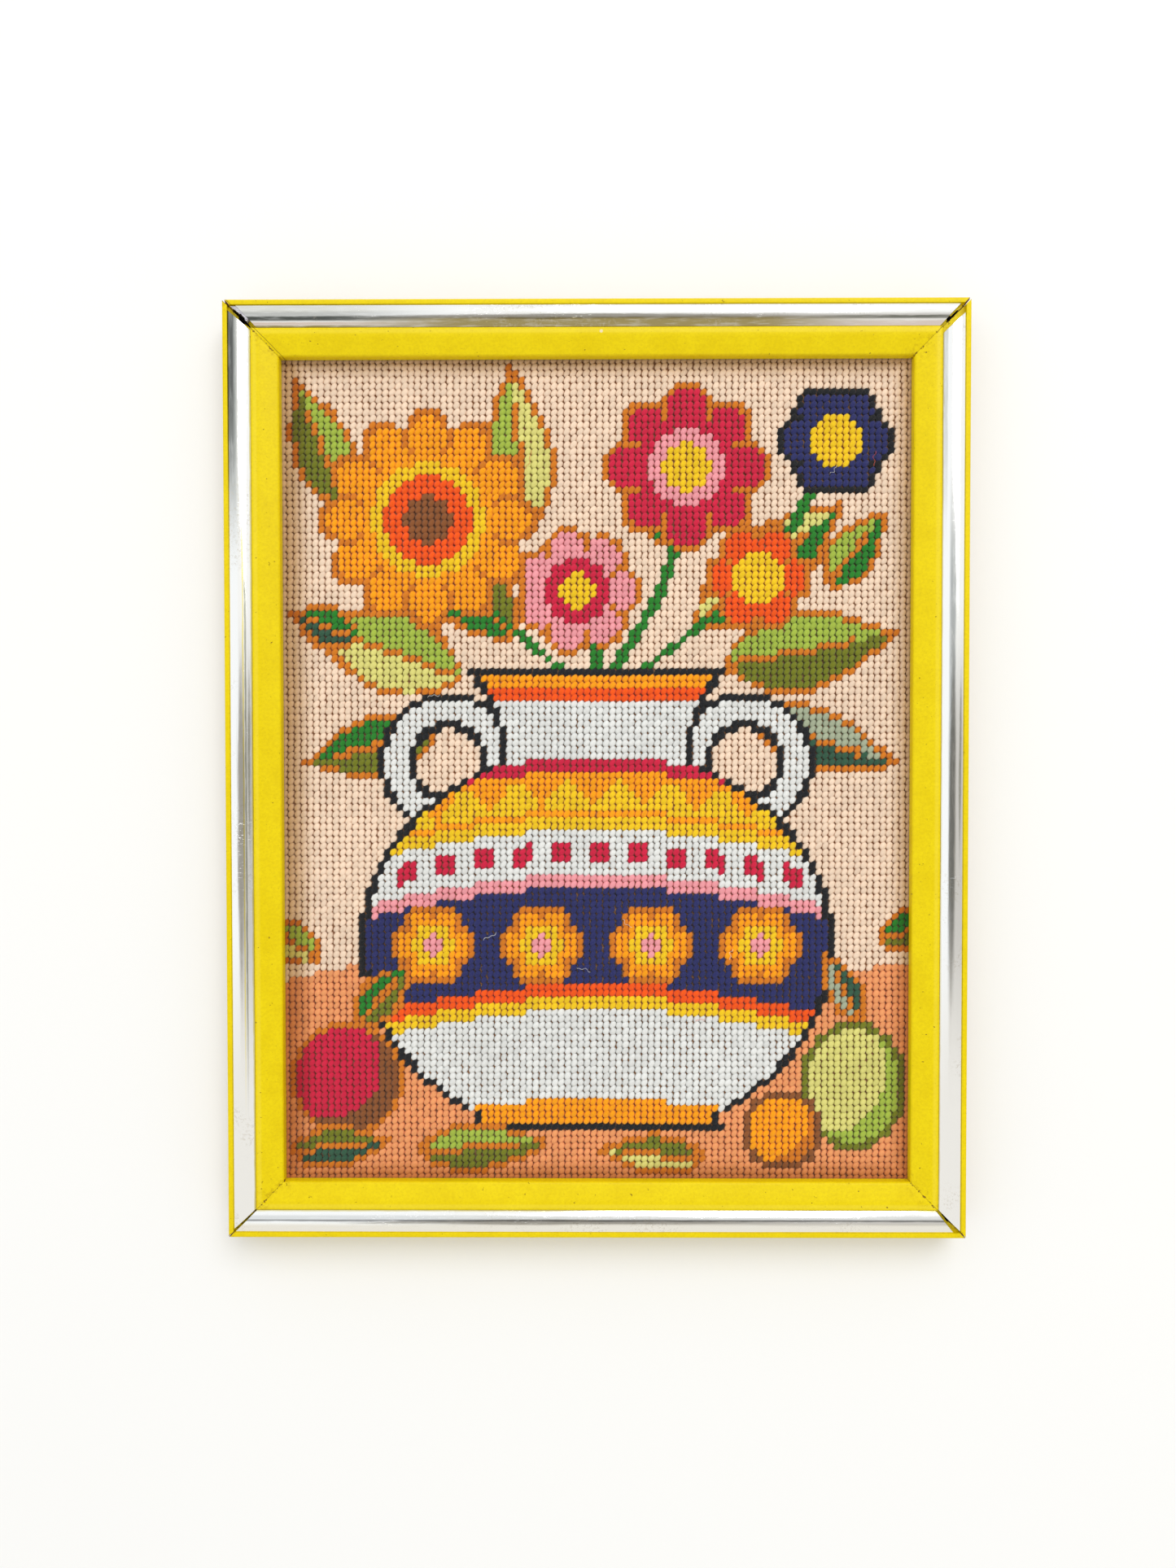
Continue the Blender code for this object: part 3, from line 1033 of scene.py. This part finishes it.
def finished_loop(name, shape):
    """The shape of one stitch as an object, ready to be set on the points."""
    bmesh.ops.recalc_face_normals(shape, faces=shape.faces[:])
    loop = shaped(name, shape)
    loop.data.shade_smooth()
    return loop


def back_shape():
    """One stitch of the reverse side, long and flat, as the wool runs on to the next hole."""
    shape = bmesh.new()
    shape.loops.layers.uv.new("yarn")
    bmesh.ops.create_uvsphere(shape, u_segments=4, v_segments=3, radius=1, calc_uvs=True)
    bmesh.ops.rotate(shape, verts=shape.verts[:], matrix=Matrix.Rotation(math.pi / 2, 3, "Y"))
    bmesh.ops.scale(shape, verts=shape.verts[:], vec=BACK_HALF_SIZE)
    return finished_loop("back_stitch", shape)


def stitch_shape():
    """One stitch along X, plump and blunt, with both ends bent down and most of its faces on top."""
    shape = bmesh.new()
    shape.loops.layers.uv.new("yarn")
    sides = len(STITCH_SIDE_ANGLES)
    bmesh.ops.create_uvsphere(shape, u_segments=sides, v_segments=5, radius=1, calc_uvs=True)
    for vert in shape.verts:
        way = math.copysign(1, vert.co.z)
        if abs(vert.co.z) > 0.99:
            vert.co = (way * STITCH_END_REACH, -way * STITCH_BEND, -STITCH_END_DEPTH)
            continue
        along = math.copysign(abs(vert.co.z) ** STITCH_BLUNTNESS, vert.co.z)
        thick = math.hypot(vert.co.x, vert.co.y) ** STITCH_BLUNTNESS
        side = round(math.atan2(vert.co.y, vert.co.x) / (2 * math.pi) * sides) % sides
        angle = math.radians(STITCH_SIDE_ANGLES[side])
        vert.co = (
            along * STITCH_HALF_LENGTH,
            thick * math.cos(angle) * STITCH_HALF_WIDTH - STITCH_BEND * along * abs(along),
            thick * math.sin(angle) * STITCH_HALF_HEIGHT,
        )
    return finished_loop("stitch", shape)


def set_stitches():
    """A node group that puts the stitch on each point, at the point's own turn and size."""
    tree = bpy.data.node_groups.new("set_stitches", "GeometryNodeTree")
    tree.interface.new_socket("Points", in_out="INPUT", socket_type="NodeSocketGeometry")
    tree.interface.new_socket("Stitch", in_out="INPUT", socket_type="NodeSocketObject")
    tree.interface.new_socket("Wool", in_out="OUTPUT", socket_type="NodeSocketGeometry")
    given, made = tree.nodes.new("NodeGroupInput"), tree.nodes.new("NodeGroupOutput")
    shape = tree.nodes.new("GeometryNodeObjectInfo")
    place = tree.nodes.new("GeometryNodeInstanceOnPoints")
    real = tree.nodes.new("GeometryNodeRealizeInstances")
    link(given.outputs["Stitch"], shape.inputs["Object"])
    link(given.outputs["Points"], place.inputs["Points"])
    link(shape.outputs["Geometry"], place.inputs["Instance"])
    for label, socket in (("turn", "Rotation"), ("size", "Scale")):
        named = tree.nodes.new("GeometryNodeInputNamedAttribute")
        named.data_type = "FLOAT_VECTOR"
        named.inputs["Name"].default_value = label
        link(named.outputs["Attribute"], place.inputs[socket])
    link(place.outputs["Instances"], real.inputs["Geometry"])
    link(real.outputs["Geometry"], made.inputs["Wool"])
    return tree


def stitch_place(column, row):
    """Where one stitch sits, how it is turned, its size and its tone."""
    x = (column - (COLUMNS - 1) / 2) * STITCH
    y = (row - (ROWS - 1) / 2) * STITCH
    pull = noise.noise_vector(Vector((x, y, 0)) * 28)
    row_lean = math.radians(3) * math.sin(row * 2.1 + 0.3 * math.sin(column / 9))
    lean = STITCH_LEAN + math.radians(10) * pull.z + row_lean + random.gauss(0, math.radians(4))
    x += 0.00030 * pull.x + random.gauss(0, 0.00007)
    y += 0.00030 * pull.y + random.gauss(0, 0.00007)
    z = canvas_rim_top - STITCH_HALF_HEIGHT + canvas_rise(x, y) + random.gauss(0, 0.00004)
    plump = 1 + random.gauss(0, 0.05)
    size = (1 + random.gauss(0, 0.05), plump, min(plump, 1.06))
    return (x, y, z), (0.0, random.gauss(0, 0.05), lean), size, random.random()


def back_place(column, row):
    """Where one reverse stitch lies, below the cotton, how it is turned, its size and its tone."""
    x = (column - (COLUMNS - 1) / 2) * STITCH
    y = (row - (ROWS - 1) / 2) * STITCH
    z = canvas_rim_top - CANVAS_THICKNESS + BACK_HALF_SIZE[2] + canvas_rise(x, y)
    z = max(z + random.gauss(0, 0.00008), canvas_low.z)
    x += random.gauss(0, 0.00015)
    y += random.gauss(0, 0.00012)
    turn = (0.0, random.gauss(0, 0.03), BACK_LEAN + random.gauss(0, 0.10))
    size = (1 + random.gauss(0, 0.06), 1 + random.gauss(0, 0.1), 1.0)
    return (x, y, z), turn, size, random.random()


def worked(name, places, stitch, setting, material):
    """One length of wool: its stitches as one mesh."""
    points = bpy.data.meshes.new(name)
    points.from_pydata([place[0] for place in places], [], [])
    for label, kind, slot, index in (
        ("turn", "FLOAT_VECTOR", "vector", 1),
        ("size", "FLOAT_VECTOR", "vector", 2),
        ("tone", "FLOAT", "value", 3),
    ):
        layer = points.attributes.new(label, kind, "POINT")
        for point, place in zip(layer.data, places):
            setattr(point, slot, place[index])
    piece = put(name, points)
    setter = piece.modifiers.new("stitches", "NODES")
    setter.node_group = setting
    setter["Socket_1"] = stitch
    applied(piece)
    piece.data.materials.clear()
    piece.data.materials.append(material)
    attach(piece, "root")
    return piece


random.seed(41)
noise.seed_set(41)
placed = {yarn: [] for yarn in WOOLS}
reverse = {yarn: [] for yarn in WOOLS}
for row in range(ROWS):
    for column in range(COLUMNS):
        placed[picture[row][column]].append(stitch_place(column, row))
        reverse[picture[row][column]].append(back_place(column, row))
stitch, back, setting, plies = stitch_shape(), back_shape(), set_stitches(), ply()
for yarn, places in placed.items():
    material = wool(yarn, WOOLS[yarn], plies)
    lengths = math.ceil(len(places) / MOST_STITCHES)
    for length in range(lengths):
        share = places[len(places) * length // lengths : len(places) * (length + 1) // lengths]
        worked(f"wool_{yarn}_{length + 1}", share, stitch, setting, material)
    worked(f"wool_{yarn}_back", reverse[yarn], back, setting, material)
bpy.data.objects.remove(stitch)
bpy.data.objects.remove(back)


# Stray fibres: a few red and white hairs of some other yarn. They have settled on the wool and cling to
# it, each a fine curl.
HAIR_THICKNESS = 0.00007
# Each hair: its middle, its turn in degrees and its length
HAIRS = {
    "red": ((0.1088, 0.1225, 84, 0.0058), (-0.0262, 0.1222, 72, 0.0078), (0.0410, -0.0980, 20, 0.0040)),
    "white": (
        (-0.0420, -0.0650, 30, 0.0060),
        (0.0120, -0.0600, 140, 0.0050),
        (0.0530, -0.0720, 75, 0.0045),
        (0.0930, 0.1180, 50, 0.0040),
        (-0.0050, -0.0780, 165, 0.0055),
        (-0.0640, 0.0300, 10, 0.0050),
    ),
}
HAIR_COLOURS = {"red": (0.70, 0.10, 0.07, 1), "white": (0.85, 0.85, 0.82, 1)}
HAIR_STEPS = 12


def hair(fibres, x, y, turn, length):
    """One fine curl, as a three-sided tube."""
    way = Vector((math.cos(math.radians(turn)), math.sin(math.radians(turn)), 0))
    aside = Vector((-way.y, way.x, 0))
    ends = []
    for step in range(HAIR_STEPS + 1):
        share = step / HAIR_STEPS
        curl = 0.00035 * math.sin(7 * share + 900 * x) + 0.0003 * math.sin(13 * share)
        centre = Vector((x, y, 0)) + way * length * (share - 0.5) + aside * curl
        centre.z = canvas_rim_top + canvas_rise(x, y) + 0.00012 + 0.0001 * math.sin(9 * share)
        ring = []
        for side in range(3):
            angle = 2 * math.pi * side / 3
            spread = aside * math.cos(angle) + Vector((0, 0, 1)) * math.sin(angle)
            ring.append(fibres.verts.new(centre + spread * HAIR_THICKNESS))
        if ends:
            for side in range(3):
                after = (side + 1) % 3
                fibres.faces.new((ends[side], ends[after], ring[after], ring[side]))
        else:
            fibres.faces.new(ring)
        ends = ring
    fibres.faces.new(ends)


for name, curls in HAIRS.items():
    fibres = bmesh.new()
    for curl in curls:
        hair(fibres, *curl)
    bmesh.ops.recalc_face_normals(fibres, faces=fibres.faces[:])
    stray = surface(f"stray_{name}", base_color=HAIR_COLOURS[name], roughness=0.8)[0]
    settled = finished(f"stray_{name}_fibres", fibres, stray)


# Table and light: a plain white table that the panel lies loose on, a broad soft window beyond the top of
# the panel, and a pale room with a dimmer patch overhead, where the viewer stands.
TABLE_SIZE = 6.0
TABLE_CLEARANCE = 0.0001
TABLE_WHITE = (0.88, 0.88, 0.88, 1)
table = bmesh.new()
bmesh.ops.create_grid(table, x_segments=1, y_segments=1, size=TABLE_SIZE / 2)
table_paint = surface("table_paint", base_color=TABLE_WHITE, roughness=0.9)[0]
table_top = shaped("table", table, table_paint)
table_top.location.z = -TABLE_CLEARANCE

WINDOW_PLACE = (0.68, 1.80, 2.45)
WINDOW_SIZE = (1.8, 1.6)
WINDOW_POWER = 37
ROOM_COLOUR = (0.63, 0.61, 0.57, 1)
ROOM_SIDES = (
    ("Y", 0.02, 0.24, (1.00, 1.00, 0.97, 1)),
    ("X", -0.12, -0.32, (1.01, 1.03, 1.03, 1)),
    ("Y", -0.20, -0.45, (0.90, 0.88, 0.83, 1)),
)
ROOM_PATCHES = (
    ("overhead", (-0.02, -0.08), (0.34, 0.22), (0.36, 0.34, 0.30)),
    ("near_right", (0.66, 0.00), (0.10, 0.12), (0.30, 0.29, 0.24)),
)

window = bpy.data.lights.new("window", "AREA")
window.shape = "RECTANGLE"
window.size, window.size_y = WINDOW_SIZE
window.energy = WINDOW_POWER
window_holder = put("window", window)
window_holder.location = WINDOW_PLACE
window_holder.rotation_euler = Vector(WINDOW_PLACE).to_track_quat("Z", "Y").to_euler()

room = bpy.data.worlds.new("room")
room.use_nodes = True
tree = room.node_tree
direction = add(tree, "TexCoord").outputs["Generated"]
ways = dict(zip("XYZ", parted(direction)))
glow = ROOM_COLOUR
for axis, low, high, colour in ROOM_SIDES:
    glow = mixed(ramp(ways[axis], low, high), glow, colour)
clutter = ramp(grain(direction, 7, 3, 0.6), 0.35, 0.65, 0.75, 1.25)
for name, middle, reach, dim in ROOM_PATCHES:
    x_share = maths("DIVIDE", minus(ways["X"], middle[0]), reach[0])
    y_share = maths("DIVIDE", minus(ways["Y"], middle[1]), reach[1])
    square = plus(times(x_share, x_share), times(y_share, y_share))
    square = times(square, clutter)
    glow = mixed(ramp(square, 0.35, 1.5, 1.0, 0.0), glow, (*dim, 1))
background = tree.nodes["Background"]
link(glow, background.inputs["Color"])
bpy.context.scene.world = room
